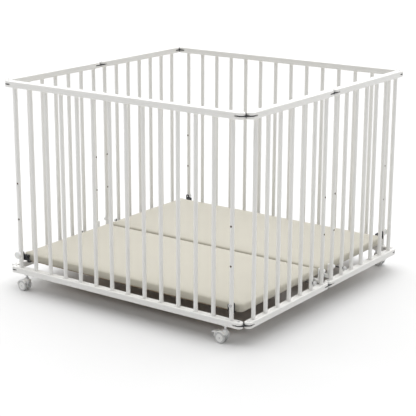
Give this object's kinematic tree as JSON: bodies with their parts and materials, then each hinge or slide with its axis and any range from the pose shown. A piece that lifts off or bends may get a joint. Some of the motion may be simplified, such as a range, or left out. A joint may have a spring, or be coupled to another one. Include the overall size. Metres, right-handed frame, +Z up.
{
  "type": "playpen",
  "caption": "Square folding wooden playpen with barred panels, hinged half sides, a padded two-part floor and casters.",
  "frame": {"origin": "on the ground under the middle of the playpen", "axes": "+Z up, +X along the front panel to the right, +Y from the front panel to the back panel"},
  "size_m": [1.039, 1.0426, 0.7463],
  "materials": {
    "white_lacquer": "beech with an opaque warm white satin lacquer",
    "dark_steel": "blackened steel plates with grey rivets",
    "zinc_steel": "bright zinc plated steel",
    "floor_vinyl": "matt greige vinyl-coated cloth with a fine grain over foam",
    "plywood": "bare plywood",
    "white_plastic": "white moulded plastic",
    "grey_plastic": "light grey moulded plastic"
  },
  "bodies": {
    "front_panel": {"front_top_rail": "white_lacquer", "front_bottom_rail": "white_lacquer", "front_bars": "white_lacquer", "front_end_bars": "white_lacquer", "floor_front_brackets": "dark_steel", "floor_front_bolts": "zinc_steel"},
    "back_panel": {"back_top_rail": "white_lacquer", "back_bottom_rail": "white_lacquer", "back_bars": "white_lacquer", "back_end_bars": "white_lacquer", "floor_back_brackets": "dark_steel", "floor_back_bolts": "zinc_steel"},
    "right_front_half": {"right_front_top_rail": "white_lacquer", "right_front_bottom_rail": "white_lacquer", "right_front_bars": "white_lacquer", "right_front_floor_rest": "white_plastic"},
    "left_front_half": {"left_front_top_rail": "white_lacquer", "left_front_bottom_rail": "white_lacquer", "left_front_bars": "white_lacquer", "left_front_floor_rest": "white_plastic"},
    "right_back_half": {"right_back_top_rail": "white_lacquer", "right_back_bottom_rail": "white_lacquer", "right_back_bars": "white_lacquer", "right_back_floor_rest": "white_plastic"},
    "left_back_half": {"left_back_top_rail": "white_lacquer", "left_back_bottom_rail": "white_lacquer", "left_back_bars": "white_lacquer", "left_back_floor_rest": "white_plastic"},
    "corner_link_front_right_body": {"corner_link_front_right": "dark_steel"},
    "corner_link_front_left_body": {"corner_link_front_left": "dark_steel"},
    "corner_link_back_right_body": {"corner_link_back_right": "dark_steel"},
    "corner_link_back_left_body": {"corner_link_back_left": "dark_steel"},
    "middle_link_right_body": {"middle_link_right": "dark_steel"},
    "middle_link_left_body": {"middle_link_left": "dark_steel"},
    "floor_front": {"floor_front_board": "plywood", "floor_front_pad": "floor_vinyl", "floor_front_straps": "dark_steel"},
    "knob_front": {"floor_front_knob": "white_plastic"},
    "floor_back": {"floor_back_board": "plywood", "floor_back_pad": "floor_vinyl", "floor_back_straps": "dark_steel"},
    "knob_back": {"floor_back_knob": "white_plastic"},
    "right_front_lock": {"right_front_lock_pin": "grey_plastic"},
    "left_front_lock": {"left_front_lock_pin": "grey_plastic"},
    "right_back_lock": {"right_back_lock_pin": "grey_plastic"},
    "left_back_lock": {"left_back_lock_pin": "grey_plastic"},
    "caster_front_right_swivel": {"caster_front_right_pins": "zinc_steel", "caster_front_right_hood": "white_plastic"},
    "caster_front_right_wheel_pair": {"caster_front_right_wheels": "grey_plastic"},
    "caster_front_left_swivel": {"caster_front_left_pins": "zinc_steel", "caster_front_left_hood": "white_plastic"},
    "caster_front_left_wheel_pair": {"caster_front_left_wheels": "grey_plastic"},
    "caster_back_right_swivel": {"caster_back_right_pins": "zinc_steel", "caster_back_right_hood": "white_plastic"},
    "caster_back_right_wheel_pair": {"caster_back_right_wheels": "grey_plastic"},
    "caster_back_left_swivel": {"caster_back_left_pins": "zinc_steel", "caster_back_left_hood": "white_plastic"},
    "caster_back_left_wheel_pair": {"caster_back_left_wheels": "grey_plastic"},
    "caster_front_right_lever": {"caster_front_right_brake": "white_plastic"},
    "caster_back_left_lever": {"caster_back_left_brake": "white_plastic"}
  },
  "joints": [
    {"name": "floor_front_lift", "type": "hinge", "parent": "front_panel", "child": "floor_front", "pos_m": [0.4378, -0.479, 0.121], "axis": [1, 0, 0], "range_deg": [0, 90], "deforming": ["floor_front_board", "floor_front_pad", "floor_back_board", "floor_back_pad"]},
    {"name": "right_front_corner_hinge", "type": "hinge", "parent": "front_panel", "child": "corner_link_front_right_body", "pos_m": [0.478, -0.497, 0.4], "axis": [0, 0, 1], "range_deg": [0, 39.5]},
    {"name": "right_front_half_hinge", "type": "hinge", "parent": "corner_link_front_right_body", "child": "right_front_half", "pos_m": [0.5, -0.475, 0.4], "axis": [0, 0, 1], "range_deg": [0, 39.5]},
    {"name": "right_middle_front_hinge", "type": "hinge", "parent": "right_front_half", "child": "middle_link_right_body", "pos_m": [0.5, -0.0155, 0.4], "axis": [0, 0, 1], "range_deg": [-79, 0]},
    {"name": "right_middle_back_hinge", "type": "hinge", "parent": "middle_link_right_body", "child": "right_back_half", "pos_m": [0.5, 0.0155, 0.4], "axis": [0, 0, 1], "range_deg": [-79, 0]},
    {"name": "right_back_half_hinge", "type": "hinge", "parent": "right_back_half", "child": "corner_link_back_right_body", "pos_m": [0.5, 0.475, 0.4], "axis": [0, 0, 1], "range_deg": [0, 39.5]},
    {"name": "back_panel_hinge", "type": "hinge", "parent": "corner_link_back_right_body", "child": "back_panel", "pos_m": [0.478, 0.497, 0.4], "axis": [0, 0, 1], "range_deg": [0, 39.5]},
    {"name": "left_front_corner_hinge", "type": "hinge", "parent": "front_panel", "child": "corner_link_front_left_body", "pos_m": [-0.478, -0.497, 0.4], "axis": [0, 0, 1], "range_deg": [-39.5, 0]},
    {"name": "left_front_half_hinge", "type": "hinge", "parent": "corner_link_front_left_body", "child": "left_front_half", "pos_m": [-0.5, -0.475, 0.4], "axis": [0, 0, 1], "range_deg": [-39.5, 0]},
    {"name": "left_middle_front_hinge", "type": "hinge", "parent": "left_front_half", "child": "middle_link_left_body", "pos_m": [-0.5, -0.0155, 0.4], "axis": [0, 0, 1], "range_deg": [0, 79]},
    {"name": "left_middle_back_hinge", "type": "hinge", "parent": "middle_link_left_body", "child": "left_back_half", "pos_m": [-0.5, 0.0155, 0.4], "axis": [0, 0, 1], "range_deg": [0, 79]},
    {"name": "left_back_half_hinge", "type": "hinge", "parent": "left_back_half", "child": "corner_link_back_left_body", "pos_m": [-0.5, 0.475, 0.4], "axis": [0, 0, 1], "range_deg": [-39.5, 0]},
    {"name": "floor_back_lift", "type": "hinge", "parent": "back_panel", "child": "floor_back", "pos_m": [0.4378, 0.479, 0.121], "axis": [-1, 0, 0], "range_deg": [0, 90]},
    {"name": "knob_front_turn", "type": "hinge", "parent": "front_panel", "child": "knob_front", "pos_m": [-0.4498, -0.515, 0.13], "axis": [0, -1, 0], "continuous": true},
    {"name": "knob_back_turn", "type": "hinge", "parent": "back_panel", "child": "knob_back", "pos_m": [0.4498, 0.515, 0.13], "axis": [0, 1, 0], "continuous": true},
    {"name": "right_front_lock_pull", "type": "slide", "parent": "right_front_half", "child": "right_front_lock", "axis": [1, 0, 0], "range_m": [0, 0.009], "stiffness_N_per_m": 150, "springref_m": -0.005},
    {"name": "left_front_lock_pull", "type": "slide", "parent": "left_front_half", "child": "left_front_lock", "axis": [-1, 0, 0], "range_m": [0, 0.009], "stiffness_N_per_m": 150, "springref_m": -0.005},
    {"name": "right_back_lock_pull", "type": "slide", "parent": "right_back_half", "child": "right_back_lock", "axis": [1, 0, 0], "range_m": [0, 0.009], "stiffness_N_per_m": 150, "springref_m": -0.005},
    {"name": "left_back_lock_pull", "type": "slide", "parent": "left_back_half", "child": "left_back_lock", "axis": [-1, 0, 0], "range_m": [0, 0.009], "stiffness_N_per_m": 150, "springref_m": -0.005},
    {"name": "caster_front_right_turn", "type": "hinge", "parent": "front_panel", "child": "caster_front_right_swivel", "pos_m": [0.427, -0.497, 0.05], "axis": [0, 0, 1], "continuous": true},
    {"name": "caster_front_right_roll", "type": "hinge", "parent": "caster_front_right_swivel", "child": "caster_front_right_wheel_pair", "pos_m": [0.415, -0.497, 0.018], "axis": [0, 1, 0], "continuous": true},
    {"name": "caster_front_left_turn", "type": "hinge", "parent": "front_panel", "child": "caster_front_left_swivel", "pos_m": [-0.427, -0.497, 0.05], "axis": [0, 0, 1], "continuous": true},
    {"name": "caster_front_left_roll", "type": "hinge", "parent": "caster_front_left_swivel", "child": "caster_front_left_wheel_pair", "pos_m": [-0.439, -0.497, 0.018], "axis": [0, 1, 0], "continuous": true},
    {"name": "caster_back_right_turn", "type": "hinge", "parent": "back_panel", "child": "caster_back_right_swivel", "pos_m": [0.427, 0.497, 0.05], "axis": [0, 0, 1], "continuous": true},
    {"name": "caster_back_right_roll", "type": "hinge", "parent": "caster_back_right_swivel", "child": "caster_back_right_wheel_pair", "pos_m": [0.439, 0.497, 0.018], "axis": [0, 1, 0], "continuous": true},
    {"name": "caster_back_left_turn", "type": "hinge", "parent": "back_panel", "child": "caster_back_left_swivel", "pos_m": [-0.427, 0.497, 0.05], "axis": [0, 0, 1], "continuous": true},
    {"name": "caster_back_left_roll", "type": "hinge", "parent": "caster_back_left_swivel", "child": "caster_back_left_wheel_pair", "pos_m": [-0.415, 0.497, 0.018], "axis": [0, 1, 0], "continuous": true},
    {"name": "caster_front_right_brake_press", "type": "hinge", "parent": "caster_front_right_swivel", "child": "caster_front_right_lever", "pos_m": [0.3941, -0.497, 0.0326], "axis": [0, -1, 0], "range_deg": [0, 18]},
    {"name": "caster_back_left_brake_press", "type": "hinge", "parent": "caster_back_left_swivel", "child": "caster_back_left_lever", "pos_m": [-0.3941, 0.497, 0.0326], "axis": [0, 1, 0], "range_deg": [0, 18]}
  ],
  "couplings": [
    {"joint": "right_front_corner_hinge", "follows": "floor_front_lift", "ratio": 0.43889},
    {"joint": "right_front_half_hinge", "follows": "floor_front_lift", "ratio": 0.43889},
    {"joint": "right_middle_front_hinge", "follows": "floor_front_lift", "ratio": -0.87778},
    {"joint": "right_middle_back_hinge", "follows": "floor_front_lift", "ratio": -0.87778},
    {"joint": "right_back_half_hinge", "follows": "floor_front_lift", "ratio": 0.43889},
    {"joint": "back_panel_hinge", "follows": "floor_front_lift", "ratio": 0.43889},
    {"joint": "left_front_corner_hinge", "follows": "floor_front_lift", "ratio": -0.43889},
    {"joint": "left_front_half_hinge", "follows": "floor_front_lift", "ratio": -0.43889},
    {"joint": "left_middle_front_hinge", "follows": "floor_front_lift", "ratio": 0.87778},
    {"joint": "left_middle_back_hinge", "follows": "floor_front_lift", "ratio": 0.87778},
    {"joint": "left_back_half_hinge", "follows": "floor_front_lift", "ratio": -0.43889},
    {"joint": "floor_back_lift", "follows": "floor_front_lift", "ratio": 1}
  ]
}
